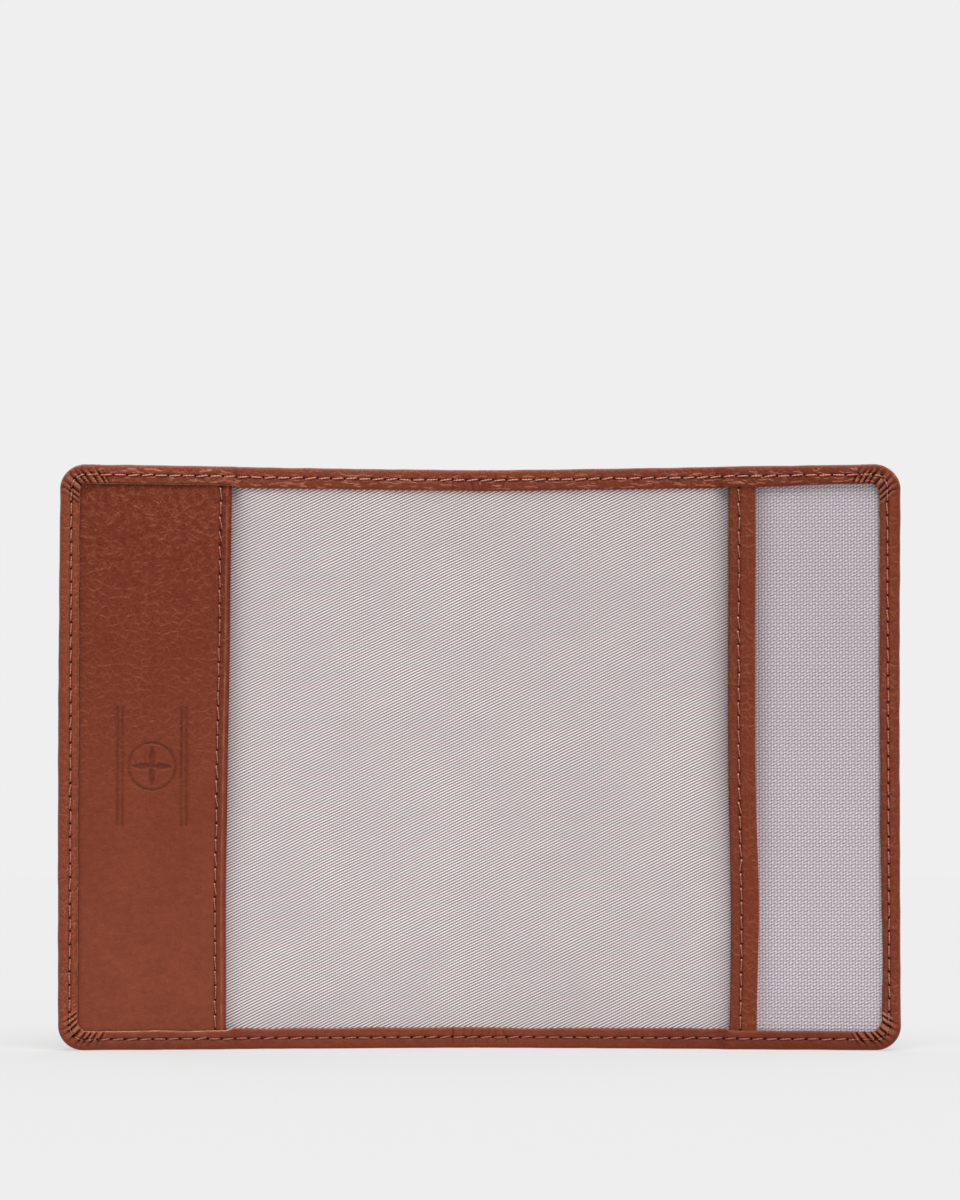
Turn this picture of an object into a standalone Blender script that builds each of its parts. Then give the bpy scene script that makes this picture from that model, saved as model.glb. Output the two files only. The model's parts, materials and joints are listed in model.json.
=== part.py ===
"""Passport holder: a leather book cover that stands open on its bottom edge.

Metres, +Z up. The inside of the cover faces -Y, the spine stands at the back, and the origin is
the middle of the footprint. Two leaves, front (-X) and back (+X), turn about vertical fold lines
at the two sides of the spine.

Each leaf and the spine is laid out flat first, in three numbers:
    v  distance along the leaf, from its fold line towards its outer edge
    z  height
    t  depth in the layers, from the leather's outer face (0) inwards
"""

import math

import bmesh
import bpy
from mathutils import Vector

# ---------------------------------------------------------------- driving dimensions, metres
COVER_HEIGHT = 0.140
FLAT_WIDTH = 0.202
SPINE_WIDTH = 0.008
OPENING_DEG = 165.0
CORNER_RADIUS = 0.006
HEM_WIDTH = 0.0046
POCKET_REACH = 0.0412  # outer edge to pocket mouth
STITCH_INSET = 0.0026
BINDING_WIDTH = 0.0068

# Layers, from the outer face inwards.
LAYER_GAP = 0.00015
PANEL_LEATHER = 0.0009
STIFFENER = 0.0004
LINING = 0.00025
SLOT = 0.0006
POCKET_TURN_IN = 0.00045
POCKET_LEATHER = 0.00065
POCKET_BACKING = 0.00025
WOVEN_CLOTH = 0.00015
BINDING_FRONT = 0.00045
BINDING_BACK = 0.00025
HEM_LEATHER = 0.00065

# Details.
FOLD_GAP = 0.00015  # each side of a fold line
WALL = 0.0009  # the turned edge where it stands up around the layers
NOSE_RADIUS = 0.0007
WALL_TO_LAYERS = 0.0004
STIFFENER_INSET = 0.0022
STIFFENER_FOLD_INSET = 0.0010
TURN_IN_WIDTH = 0.009
POCKET_STITCH_INSET = 0.0025
BINDING_STITCH_INSET = 0.0028
BINDING_NOSE = 0.0005
RAMP_LENGTH = 0.003  # where the hem climbs onto the pocket
THREAD_RADIUS = 0.00015
GROOVE_RADIUS = 0.0002
CUT_PAST = 0.002
CORNER_STEPS = 8
NOSE_STEPS = 3
TUBE_SIDES = 8

# ---------------------------------------------------------------- worked out from those
LEAF_WIDTH = (FLAT_WIDTH - SPINE_WIDTH) / 2
TURN = math.radians(180 - OPENING_DEG) / 2
MOUTH = LEAF_WIDTH - POCKET_REACH

T_STIFFENER = PANEL_LEATHER + LAYER_GAP
T_LINING = T_STIFFENER + STIFFENER + LAYER_GAP
T_LINING_FACE = T_LINING + LINING
T_POCKET_BACK = T_LINING_FACE + SLOT
T_POCKET = T_POCKET_BACK + POCKET_TURN_IN
T_POCKET_FACE = T_POCKET + POCKET_LEATHER
HEM_LOW = T_LINING_FACE + LAYER_GAP + HEM_LEATHER
HEM_HIGH = T_POCKET_FACE + LAYER_GAP + HEM_LEATHER
T_HINGE = HEM_LOW + 0.00005
LAYER_INSET = WALL + WALL_TO_LAYERS

LEAF_DEPTH = LEAF_WIDTH * math.sin(TURN) + (HEM_HIGH - T_HINGE) * math.cos(TURN)
HINGE_Y = (LEAF_DEPTH - T_HINGE) / 2

FRONT, BACK, SPINE = -1, 1, 0


# ---------------------------------------------------------------- materials
def material(name, colour, roughness):
    made = bpy.data.materials.new(name)
    made.use_nodes = True
    shader = made.node_tree.nodes["Principled BSDF"]
    shader.inputs["Base Color"].default_value = (*colour, 1.0)
    shader.inputs["Roughness"].default_value = roughness
    shader.inputs["Metallic"].default_value = 0.0
    return made


def make_materials():
    return {
        "leather": material("leather", (0.20, 0.045, 0.023), 0.5),
        "board": material("board", (0.42, 0.33, 0.24), 0.9),
        "lining": material("lining", (0.52, 0.46, 0.45), 0.6),
        "woven": material("woven", (0.48, 0.43, 0.45), 0.7),
        "thread": material("thread", (0.33, 0.13, 0.07), 0.6),
    }


# ---------------------------------------------------------------- building pieces
class Section:
    """One leaf, or the spine: it turns flat (v, t, z) into its own x, y, z and owns an empty."""

    def __init__(self, name, side):
        self.side = side
        self.mirror = -1 if side == FRONT else 1
        self.empty = bpy.data.objects.new(name, None)
        self.empty.location = (side * SPINE_WIDTH / 2, HINGE_Y, 0)
        self.empty.rotation_euler = (0, 0, -side * TURN)
        bpy.context.scene.collection.objects.link(self.empty)

    def point(self, v, t, z):
        return Vector((self.mirror * v, T_HINGE - t, z))

    def add(self, name, mesh, finish):
        obj = bpy.data.objects.new(name, mesh)
        if finish is not None:
            obj.data.materials.append(finish)
        obj.parent = self.empty
        bpy.context.scene.collection.objects.link(obj)
        return obj


def solid_from_rings(name, rings):
    """One closed solid through rings of points, each ring with the same number of points."""
    bm = bmesh.new()
    loops = [[bm.verts.new(p) for p in ring] for ring in rings]
    count = len(loops[0])
    for first, second in zip(loops, loops[1:]):
        for i in range(count):
            j = (i + 1) % count
            bm.faces.new((first[i], first[j], second[j], second[i]))
    bm.faces.new(loops[0])
    bm.faces.new(loops[-1])
    bmesh.ops.recalc_face_normals(bm, faces=bm.faces)
    mesh = bpy.data.meshes.new(name)
    bm.to_mesh(mesh)
    bm.free()
    return mesh


def sheet_outline(inner, outer, low, high, radius):
    """(v, z) of a sheet that is square at the fold and round at its two outer corners."""
    outline = [(inner, high), (inner, low)]
    for centre_z, start in ((low + radius, -90), (high - radius, 0)):
        for step in range(CORNER_STEPS + 1):
            angle = math.radians(start + 90 * step / CORNER_STEPS)
            v = outer - radius + radius * math.cos(angle)
            outline.append((v, centre_z + radius * math.sin(angle)))
    return outline


def sheet(section, name, outline, t_out, t_in, finish):
    """A flat layer between two depths."""
    rings = [[section.point(v, t, z) for v, z in outline] for t in (t_out, t_in)]
    return section.add(name, solid_from_rings(name, rings), finish)


def strip(section, name, profile, low, high, finish):
    """A profile of (v, t) points drawn up from one height to another."""
    rings = [[section.point(v, t, z) for v, t in profile] for z in (low, high)]
    return section.add(name, solid_from_rings(name, rings), finish)


def edge_profile(face):
    """(d, t) of the leather where it turns over the layers: d is the distance in from the edge."""
    points = [(0, T_STIFFENER)]
    for step in range(NOSE_STEPS + 1):
        angle = math.radians(180 - 90 * step / NOSE_STEPS)
        d = NOSE_RADIUS + NOSE_RADIUS * math.cos(angle)
        points.append((d, face - NOSE_RADIUS + NOSE_RADIUS * math.sin(angle)))
    points.append((HEM_WIDTH, face))
    points.append((HEM_WIDTH, face - HEM_LEATHER))
    points.append((WALL, face - HEM_LEATHER))
    points.append((WALL, T_STIFFENER))
    return points


def hem_level(v):
    """Depth of the hem's face at a distance along the leaf: it climbs just before the pocket."""
    ramp_end = MOUTH - WALL_TO_LAYERS
    share = (v - ramp_end + RAMP_LENGTH) / RAMP_LENGTH
    return HEM_LOW + (HEM_HIGH - HEM_LOW) * min(1, max(0, share))


def long_edge(section, name, top, stations, finish):
    """A turned edge along the top or the bottom, through the given stations along the leaf."""
    rings = []
    for v, face in stations:
        ring = []
        for d, t in edge_profile(face):
            ring.append(section.point(v, t, COVER_HEIGHT - d if top else d))
        rings.append(ring)
    return section.add(name, solid_from_rings(name, rings), finish)


def side_edge(section, name, finish):
    rings = []
    for z in (CORNER_RADIUS + FOLD_GAP, COVER_HEIGHT - CORNER_RADIUS - FOLD_GAP):
        ring = [section.point(LEAF_WIDTH - d, t, z) for d, t in edge_profile(HEM_HIGH)]
        rings.append(ring)
    return section.add(name, solid_from_rings(name, rings), finish)


def corner_edge(section, name, top, finish):
    """The gathered corner: the edge's profile swept round a quarter turn."""
    centre_v = LEAF_WIDTH - CORNER_RADIUS
    centre_z = COVER_HEIGHT - CORNER_RADIUS if top else CORNER_RADIUS
    sign = 1 if top else -1
    spare = math.degrees(FOLD_GAP / CORNER_RADIUS)
    rings = []
    for step in range(CORNER_STEPS + 1):
        angle = math.radians(spare + (90 - 2 * spare) * step / CORNER_STEPS)
        ring = []
        for d, t in edge_profile(HEM_HIGH):
            reach = CORNER_RADIUS - d
            v = centre_v + reach * math.cos(angle)
            ring.append(section.point(v, t, centre_z + sign * reach * math.sin(angle)))
        rings.append(ring)
    return section.add(name, solid_from_rings(name, rings), finish)


def tube_mesh(name, path, radius, depth_axis):
    """A round cord along a path that bends in the plane of the leaf."""
    rings = []
    for i, point in enumerate(path):
        before = path[max(i - 1, 0)]
        after = path[min(i + 1, len(path) - 1)]
        along = (after - before).normalized()
        across = along.cross(depth_axis).normalized()
        inward = across.cross(along).normalized()
        ring = []
        for side in range(TUBE_SIDES):
            angle = 2 * math.pi * (side + 0.5) / TUBE_SIDES
            ring.append(point + radius * (math.cos(angle) * across + math.sin(angle) * inward))
        rings.append(ring)
    return solid_from_rings(name, rings)


def perimeter_route(first_v, depth_at):
    """(v, t, z) along the stitching: in along the bottom, round the outer edge, back at the top."""
    outer = LEAF_WIDTH - STITCH_INSET
    low, high = STITCH_INSET, COVER_HEIGHT - STITCH_INSET
    radius = CORNER_RADIUS - STITCH_INSET
    bends = [first_v, MOUTH - WALL_TO_LAYERS - RAMP_LENGTH, MOUTH - WALL_TO_LAYERS]
    route = [(v, depth_at(v), low) for v in bends]
    for v, z in sheet_outline(0, outer, low, high, radius)[2:]:
        route.append((v, depth_at(v), z))
    route += [(v, depth_at(v), high) for v in reversed(bends)]
    return route


def groove(section, obj, route):
    """Cuts the channel that a line of stitching lies in."""
    name = obj.name + "_groove"
    path = [section.point(*place) for place in route]
    cutter = section.add(name, tube_mesh(name, path, GROOVE_RADIUS, Vector((0, 1, 0))), None)
    cutter.hide_render = True
    cutter.display_type = "WIRE"
    cut = obj.modifiers.new("stitch_groove", "BOOLEAN")
    cut.object = cutter
    cut.operation = "DIFFERENCE"
    cut.solver = "EXACT"


def thread(section, name, route, finish):
    path = [section.point(*place) for place in route]
    return section.add(name, tube_mesh(name, path, THREAD_RADIUS, Vector((0, 1, 0))), finish)


def needle_depth(v):
    return hem_level(v) - THREAD_RADIUS


def bobbin_depth(_v):
    return THREAD_RADIUS


# ---------------------------------------------------------------- leaves
def make_leaf(section, prefix, finishes):
    """What both leaves share: the cover panel, its board and lining, turned edges and threads."""
    leather = finishes["leather"]
    whole = sheet_outline(FOLD_GAP, LEAF_WIDTH, 0, COVER_HEIGHT, CORNER_RADIUS)
    panel = sheet(section, prefix + "cover_panel", whole, 0, PANEL_LEATHER, leather)

    board_edge = STIFFENER_INSET
    board = sheet_outline(
        STIFFENER_FOLD_INSET,
        LEAF_WIDTH - board_edge,
        board_edge,
        COVER_HEIGHT - board_edge,
        CORNER_RADIUS - board_edge,
    )
    t_board = T_STIFFENER + STIFFENER
    sheet(section, prefix + "stiffener_board", board, T_STIFFENER, t_board, finishes["board"])

    lining = layer_outline(FOLD_GAP)
    sheet(section, prefix + "lining", lining, T_LINING, T_LINING_FACE, finishes["lining"])

    corner_start = LEAF_WIDTH - CORNER_RADIUS - FOLD_GAP
    ramp_end = MOUTH - WALL_TO_LAYERS
    stations = [(v, hem_level(v)) for v in (FOLD_GAP, ramp_end - RAMP_LENGTH, ramp_end, corner_start)]
    edges = [side_edge(section, prefix + "turned_edge_side", leather)]
    for top, word in ((True, "top"), (False, "bottom")):
        edges.append(long_edge(section, prefix + "turned_edge_" + word, top, stations, leather))
        edges.append(corner_edge(section, prefix + "gathered_corner_" + word, top, leather))

    for edge in edges:
        groove(section, edge, perimeter_route(-CUT_PAST, needle_depth))
    groove(section, panel, perimeter_route(-CUT_PAST, bobbin_depth))
    for word, depth_at in (("needle", needle_depth), ("bobbin", bobbin_depth)):
        route = perimeter_route(FOLD_GAP, depth_at)
        thread(section, prefix + "perimeter_" + word + "_thread", route, finishes["thread"])


def layer_outline(inner):
    """A layer that lies inside the turned edge."""
    return sheet_outline(
        inner,
        LEAF_WIDTH - LAYER_INSET,
        LAYER_INSET,
        COVER_HEIGHT - LAYER_INSET,
        CORNER_RADIUS - LAYER_INSET,
    )


def seam_route(v, t, past):
    """A straight line of stitching down a pocket's mouth, between the two hems."""
    return [(v, t, HEM_WIDTH + 0.0003 - past), (v, t, COVER_HEIGHT - HEM_WIDTH - 0.0003 + past)]


def make_leather_pocket(section, finishes):
    """Leather, with its mouth edge turned in and stitched, and a cloth backing behind the rest."""
    name = "front_leather_pocket"
    pocket = sheet(section, name, layer_outline(MOUTH), T_POCKET, T_POCKET_FACE, finishes["leather"])

    turned = [
        (MOUTH, T_POCKET_BACK),
        (MOUTH + TURN_IN_WIDTH, T_POCKET_BACK),
        (MOUTH + TURN_IN_WIDTH, T_POCKET + LAYER_GAP),
        (MOUTH, T_POCKET + LAYER_GAP),
    ]
    turn = strip(section, name + "_turn_in", turned, LAYER_INSET, COVER_HEIGHT - LAYER_INSET, None)
    turn.hide_render = True
    turn.display_type = "WIRE"
    join = pocket.modifiers.new("turn_in", "BOOLEAN")
    join.object = turn
    join.operation = "UNION"
    join.solver = "EXACT"

    t_seam = T_POCKET_FACE - THREAD_RADIUS
    seam = MOUTH + POCKET_STITCH_INSET
    groove(section, pocket, seam_route(seam, t_seam, CUT_PAST + HEM_WIDTH))
    thread(section, "front_pocket_seam_thread", seam_route(seam, t_seam, 0), finishes["thread"])

    backing_start = MOUTH + TURN_IN_WIDTH + LAYER_GAP
    t_backing = T_POCKET - LAYER_GAP - POCKET_BACKING
    sheet(
        section,
        "front_pocket_backing",
        layer_outline(backing_start),
        t_backing,
        t_backing + POCKET_BACKING,
        finishes["lining"],
    )


def make_woven_pocket(section, finishes):
    """Cloth whose mouth edge is bound with a folded strip of leather."""
    low, high = LAYER_INSET, COVER_HEIGHT - LAYER_INSET
    face = T_POCKET_FACE
    back = T_POCKET_BACK
    binding = [
        (MOUTH, back),
        (MOUTH, face),
        (MOUTH + BINDING_WIDTH, face),
        (MOUTH + BINDING_WIDTH, face - BINDING_FRONT),
        (MOUTH + BINDING_NOSE, face - BINDING_FRONT),
        (MOUTH + BINDING_NOSE, back + BINDING_BACK),
        (MOUTH + BINDING_WIDTH, back + BINDING_BACK),
        (MOUTH + BINDING_WIDTH, back),
    ]
    bound = strip(section, "back_pocket_binding", binding, low, high, finishes["leather"])
    t_seam = face - THREAD_RADIUS
    seam = MOUTH + BINDING_STITCH_INSET
    groove(section, bound, seam_route(seam, t_seam, CUT_PAST + HEM_WIDTH))
    thread(section, "back_binding_seam_thread", seam_route(seam, t_seam, 0), finishes["thread"])

    cloth_start = MOUTH + BINDING_NOSE + LAYER_GAP
    t_cloth = (back + BINDING_BACK + face - BINDING_FRONT - WOVEN_CLOTH) / 2
    sheet(
        section,
        "back_woven_pocket",
        layer_outline(cloth_start),
        t_cloth,
        t_cloth + WOVEN_CLOTH,
        finishes["woven"],
    )


# ---------------------------------------------------------------- spine
def make_spine(section, finishes):
    half = SPINE_WIDTH / 2 - FOLD_GAP
    leather = finishes["leather"]
    whole = [(-half, 0), (half, 0), (half, COVER_HEIGHT), (-half, COVER_HEIGHT)]
    panel = sheet(section, "spine_cover_panel", whole, 0, PANEL_LEATHER, leather)
    low, high = LAYER_INSET, COVER_HEIGHT - LAYER_INSET
    lining = [(-half, low), (half, low), (half, high), (-half, high)]
    sheet(section, "spine_lining", lining, T_LINING, T_LINING_FACE, finishes["lining"])

    stations = [(-half, HEM_LOW), (half, HEM_LOW)]
    for top, word in ((True, "top"), (False, "bottom")):
        edge = long_edge(section, "spine_turned_edge_" + word, top, stations, leather)
        z = COVER_HEIGHT - STITCH_INSET if top else STITCH_INSET
        t_needle = HEM_LOW - THREAD_RADIUS
        cut = half + CUT_PAST
        groove(section, edge, [(-cut, t_needle, z), (cut, t_needle, z)])
        groove_panel = [(-cut, THREAD_RADIUS, z), (cut, THREAD_RADIUS, z)]
        groove(section, panel, groove_panel)
        for kind, t in (("needle", t_needle), ("bobbin", THREAD_RADIUS)):
            name = "spine_" + kind + "_thread_" + word
            thread(section, name, [(-half, t, z), (half, t, z)], finishes["thread"])


def main():
    for obj in list(bpy.data.objects):
        bpy.data.objects.remove(obj)
    finishes = make_materials()
    front = Section("front_leaf_fold", FRONT)
    back = Section("back_leaf_fold", BACK)
    make_leaf(front, "front_", finishes)
    make_leather_pocket(front, finishes)
    make_leaf(back, "back_", finishes)
    make_woven_pocket(back, finishes)
    make_spine(Section("spine", SPINE), finishes)


main()
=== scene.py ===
"""Looks for the passport cover: stitched leather, twill lining and a bound woven pocket.

Every piece is laid out flat first, in millimetres, and then put in place, in metres, by place():
    u  distance from the middle of the spine towards a leaf's outer edge
    z  height
    t  depth in the layers, from the leather's outer face (0) inwards
The left half (front leaf, side -1) is laid round the spine's soft bend towards the front leaf, the right
half (back leaf, side +1) towards the back leaf. The two halves meet in the middle of the spine.
"""

import json
import math

import bpy
import numpy as np
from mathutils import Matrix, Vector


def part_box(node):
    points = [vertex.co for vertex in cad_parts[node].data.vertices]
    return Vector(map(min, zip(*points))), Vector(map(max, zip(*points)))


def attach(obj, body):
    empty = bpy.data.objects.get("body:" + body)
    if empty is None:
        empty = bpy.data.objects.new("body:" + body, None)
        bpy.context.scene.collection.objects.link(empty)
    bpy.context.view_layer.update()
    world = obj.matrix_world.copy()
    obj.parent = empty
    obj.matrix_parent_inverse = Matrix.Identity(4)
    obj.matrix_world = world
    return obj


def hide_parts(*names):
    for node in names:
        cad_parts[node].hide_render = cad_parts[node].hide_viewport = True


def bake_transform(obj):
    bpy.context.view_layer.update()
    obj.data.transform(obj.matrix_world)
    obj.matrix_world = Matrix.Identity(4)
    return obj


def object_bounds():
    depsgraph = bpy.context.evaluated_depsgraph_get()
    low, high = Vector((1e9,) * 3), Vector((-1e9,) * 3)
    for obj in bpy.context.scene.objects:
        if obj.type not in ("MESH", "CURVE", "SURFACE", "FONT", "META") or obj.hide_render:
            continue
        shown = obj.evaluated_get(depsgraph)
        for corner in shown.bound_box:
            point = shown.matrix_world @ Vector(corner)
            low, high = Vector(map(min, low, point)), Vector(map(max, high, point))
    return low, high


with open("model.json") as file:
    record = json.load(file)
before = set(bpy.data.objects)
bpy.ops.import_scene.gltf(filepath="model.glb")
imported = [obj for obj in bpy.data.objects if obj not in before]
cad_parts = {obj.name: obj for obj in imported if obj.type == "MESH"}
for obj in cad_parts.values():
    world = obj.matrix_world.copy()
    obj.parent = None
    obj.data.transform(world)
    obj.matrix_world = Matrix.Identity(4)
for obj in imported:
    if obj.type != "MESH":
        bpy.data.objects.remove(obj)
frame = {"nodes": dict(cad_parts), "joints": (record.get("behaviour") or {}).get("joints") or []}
CAD_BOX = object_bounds()

MM = 0.001
FRONT, BACK = -1, 1
LEAF_BODY = {FRONT: "front_cover", BACK: "back_cover"}
PREFIX = {FRONT: "front_", BACK: "back_"}


# -------- sizes read from the frame
FOLDS = {joint["child"]: joint for joint in frame["joints"]}
FOLD_U, HINGE_Y, _ = (axis / MM for axis in FOLDS["back_cover"]["pos_m"])
TURN = math.radians(-FOLDS["back_cover"]["range_deg"][0])
OUTER_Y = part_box("spine_cover_panel")[1].y / MM
T_HINGE = OUTER_Y - HINGE_Y


def flat_span(node, side):
    """Lowest and highest (u, t, z) of a CAD node, with its leaf turned back flat."""
    places = np.array([v.co for v in frame["nodes"][node].data.vertices], float) / MM
    x = side * places[:, 0] - FOLD_U
    y = places[:, 1] - HINGE_Y
    u = FOLD_U + x * math.cos(TURN) - y * math.sin(TURN)
    t = T_HINGE - (x * math.sin(TURN) + y * math.cos(TURN))
    flat = np.stack([u, t, places[:, 2]], axis=1)
    return flat.min(axis=0), flat.max(axis=0)


EDGE_U, PANEL_T, TOP_Z = flat_span("back_cover_panel", BACK)[1]
LINING_SPAN = flat_span("back_lining", BACK)
BOARD_SPAN = flat_span("back_stiffener_board", BACK)
POCKET_SPAN = flat_span("front_leather_pocket", FRONT)
BACKING_SPAN = flat_span("front_pocket_backing", FRONT)
BINDING_SPAN = flat_span("back_pocket_binding", BACK)
WOVEN_SPAN = flat_span("back_woven_pocket", BACK)
HEM_T_HIGH = flat_span("back_turned_edge_side", BACK)[1][1]
HEM_T_LOW = OUTER_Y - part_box("spine_turned_edge_top")[0].y / MM
MOUTH_U = POCKET_SPAN[0][0]
CORNER_LOW, CORNER_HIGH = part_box("front_gathered_corner_top")
CORNER_R = (CORNER_HIGH.z - CORNER_LOW.z) / MM
ARC_U = EDGE_U - CORNER_R  # where the corners' arcs are centred
ARC_Z = TOP_Z - CORNER_R

# -------- sizes of the fine detail
BEND_U = 17  # the spine's soft bend reaches this far each side
STITCH = 3.2
STITCH_INSET = 2.6
STITCHES_LONG = 29  # from the middle of the spine to a corner
STITCHES_SIDE = 40
STITCHES_CORNER = 2
STEPS_PER_STITCH = 16
CORNER_STEPS = 72
SHARP_ANGLE = math.radians(50)
THREAD_R = 0.165
HEM_LEATHER = 0.65
HEM_CENTRE = 4.95  # hem widths: at the lining, over the pockets, and at the sides
HEM_POCKET = 4.55
HEM_SIDE = 4.35
HEM_BOTTOM_LESS = 0.2
HEM_CORNER_R = 2.6
NOSE_WIDTH = 1.25  # how far in from the rim the hem's face starts
PLEAT_FOCUS = 15  # how far inside a corner's centre the pleats would meet, each way
PLEAT_TURN = math.radians(3.3)
PLEATS_ALONG_SIDE = math.radians(12)
PLEATS_ALONG_TOP = math.radians(17)
MOUTH_DRIFT = 0.9  # the pocket mouths lie further out at the bottom
POCKET_ROLL = 0.95  # how wide the folded mouth edges round over
BINDING_ROLL = 0.9
BINDING_WIDTH = 6.25
TURN_IN = 9.0
MOUTH_SEAM = 2.6  # from a pocket's mouth to its stitching
POCKET_PITCH = 3.52
BINDING_PITCH = 3.42
TWILL_THREAD = 0.4765
TWILL_FLOAT = 0.691
WEAVE_ACROSS = 0.712
WEAVE_ALONG = 0.851


# -------- noise and small helpers
def waves(seed, wavelength, a, b=0.0):
    """Smooth, repeatable unevenness over (a, b): a few sine waves of about one wavelength."""
    draw = np.random.default_rng(seed)
    heading = draw.uniform(0, 2 * math.pi, 7)
    turn = 2 * math.pi * draw.uniform(0.6, 1.6, 7) / wavelength
    a, b = np.asarray(a)[..., None] * np.cos(heading), np.asarray(b)[..., None] * np.sin(heading)
    return np.sin((a + b) * turn + draw.uniform(0, 2 * math.pi, 7)).mean(axis=-1) * 1.6


def ease(x):
    x = np.clip(x, 0, 1)
    return x * x * (3 - 2 * x)


def dip(x, width):
    return np.exp(-((x / width) ** 2))


def arch(x):
    """From 0 to 1 and back over x from 0 to 1."""
    return np.sin(np.clip(x, 0, 1) * math.pi)


def pair(a, b):
    return np.stack(np.broadcast_arrays(a, b), axis=-1)


def at_hole(stitch, width):
    """1 at each needle hole, and 0 a share of a stitch away from it."""
    share = stitch % 1
    return dip(np.minimum(share, 1 - share), width)


# -------- from flat to the standing shape
BEND_STEPS = 400
TABLE_U = np.linspace(0, BEND_U, BEND_STEPS)
TABLE_ANGLE = TURN * (1.5 * TABLE_U / BEND_U - 0.5 * (TABLE_U / BEND_U) ** 3)


def running_sum(values):
    steps = (values[1:] + values[:-1]) / 2 * (BEND_U / (BEND_STEPS - 1))
    return np.concatenate([[0], np.cumsum(steps)])


TABLE_X = running_sum(np.cos(TABLE_ANGLE))
TABLE_DROP = running_sum(np.sin(TABLE_ANGLE))
LEAF_START_Y = HINGE_Y - (BEND_U - FOLD_U) * math.sin(TURN)


def place(side, u, z, t):
    """World points of flat ones: the leaf's plane is the frame's, and the spine is a soft curve."""
    u, z, t = np.broadcast_arrays(np.asarray(u, float), z, t)
    inner = np.clip(u, 0, BEND_U)
    beyond = u - inner
    angle = np.interp(inner, TABLE_U, TABLE_ANGLE)
    x = np.interp(inner, TABLE_U, TABLE_X) + beyond * np.cos(angle)
    drop = np.interp(inner, TABLE_U, TABLE_DROP) + beyond * np.sin(angle)
    y = LEAF_START_Y + TABLE_DROP[-1] - drop
    out = T_HINGE - t
    world_x = side * (x + out * np.sin(angle))
    return np.stack([world_x, y + out * np.cos(angle), z], axis=-1) * MM


# -------- mesh building
def add_object(name, data):
    made = bpy.data.objects.new(name, data)
    bpy.context.scene.collection.objects.link(made)
    return made


class Build:
    """Collects points, faces, two UV maps and the painted light of one piece, laid out flat."""

    def __init__(self, side):
        self.side = side
        self.points, self.flat, self.seam, self.crease, self.faces = [], [], [], [], []
        self.count = 0

    def add(self, u, z, t, flat, seam=0.0, crease=0.0):
        """Adds an array of points and returns their numbers in the same layout. The painted light runs from
        -1, a painted highlight or a pale crack, to 1, painted shade."""
        u, z, t = np.broadcast_arrays(u, z, t)
        self.points.append(place(self.side, u, z, t).reshape(-1, 3))
        self.flat.append(flat.reshape(-1, 2) * MM)
        self.seam.append(np.broadcast_to(seam, (*u.shape, 2)).reshape(-1, 2))
        self.crease.append(np.broadcast_to(crease, u.shape).ravel())
        numbers = np.arange(self.count, self.count + u.size).reshape(u.shape)
        self.count += u.size
        return numbers

    def quads(self, numbers):
        """Faces over a grid of point numbers. A point that repeats makes a triangle."""
        corners = [numbers[:-1, :-1], numbers[:-1, 1:], numbers[1:, 1:], numbers[1:, :-1]]
        for quad in np.stack(corners, axis=-1).reshape(-1, 4).tolist():
            face = [n for i, n in enumerate(quad) if n != quad[i - 1]]
            if len(face) > 2:
                self.faces.append(face)

    def loft(self, numbers):
        """A closed solid: rows are rings of points, with a cap at each end."""
        self.quads(np.hstack([numbers, numbers[:, :1]]))
        self.faces.append(numbers[0, ::-1].tolist())
        self.faces.append(numbers[-1].tolist())

    def make(self, name, finish, slot, in_leaf, in_spine=(), bends=False):
        """The finished piece. Its name and the CAD nodes that it replaces, in its leaf and in the spine,
        come without their prefix. A piece that bends crosses the fold: it keeps its baked place and is
        not attached to a body, while any other piece is attached to its leaf's body."""
        faces = self.faces if self.side == FRONT else [face[::-1] for face in self.faces]
        prefix = PREFIX[self.side]
        mesh = bpy.data.meshes.new(prefix + name)
        mesh.from_pydata(np.concatenate(self.points), [], faces)
        corner_of = np.zeros(len(mesh.loops), np.int64)
        mesh.loops.foreach_get("vertex_index", corner_of)
        for layer_name, values in (("flat", self.flat), ("seam", self.seam)):
            uv = mesh.uv_layers.new(name=layer_name)
            uv.data.foreach_set("uv", np.concatenate(values)[corner_of].astype(np.float32).ravel())
        # A point attribute of painted light: painted shade above 0, painted highlight and pale cracks below.
        crease = mesh.attributes.new("crease", "FLOAT", "POINT")
        crease.data.foreach_set("value", np.concatenate(self.crease).astype(np.float32))
        mesh.shade_smooth()
        mesh.set_sharp_from_angle(angle=SHARP_ANGLE)
        mesh.materials.append(finish)
        mesh.validate()
        piece = add_object(prefix + name, mesh)
        if bends:
            reach = (0, self.side * 2 * FOLD_U)
            middle, leaf = ((u * MM, HINGE_Y * MM, TOP_Z / 2 * MM) for u in reach)
            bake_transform(piece)
        else:
            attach(piece, LEAF_BODY[self.side])
        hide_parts(*(prefix + word for word in in_leaf), *("spine_" + word for word in in_spine))
        return piece


# -------- node materials
def math_node(operation):
    """A method of Value that adds one math node."""
    return lambda *numbers: numbers[0].nodes.math(operation, *numbers)


class Value:
    """A number, colour or vector in a node tree. Reckoning with it adds math nodes."""

    __add__ = math_node("ADD")
    __sub__ = math_node("SUBTRACT")
    __mul__ = math_node("MULTIPLY")
    __truediv__ = math_node("DIVIDE")
    __pow__ = math_node("POWER")
    __abs__ = math_node("ABSOLUTE")
    floor = math_node("FLOOR")
    fract = math_node("FRACT")

    def __init__(self, nodes, socket):
        self.nodes, self.socket = nodes, socket

    def __rsub__(self, other):
        return self.nodes.math("SUBTRACT", other, self)

    def clamped(self):
        """The same number, kept between 0 and 1 by the math node that makes it."""
        self.socket.node.use_clamp = True
        return self

    def spread(self, low, high, to_low=0.0, to_high=1.0):
        """Low to high, stretched to another range and kept inside it."""
        ends = {"From Min": low, "From Max": high, "To Min": to_low, "To Max": to_high}
        return self.nodes.node("MapRange", 0, {"Value": self, **ends})


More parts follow.
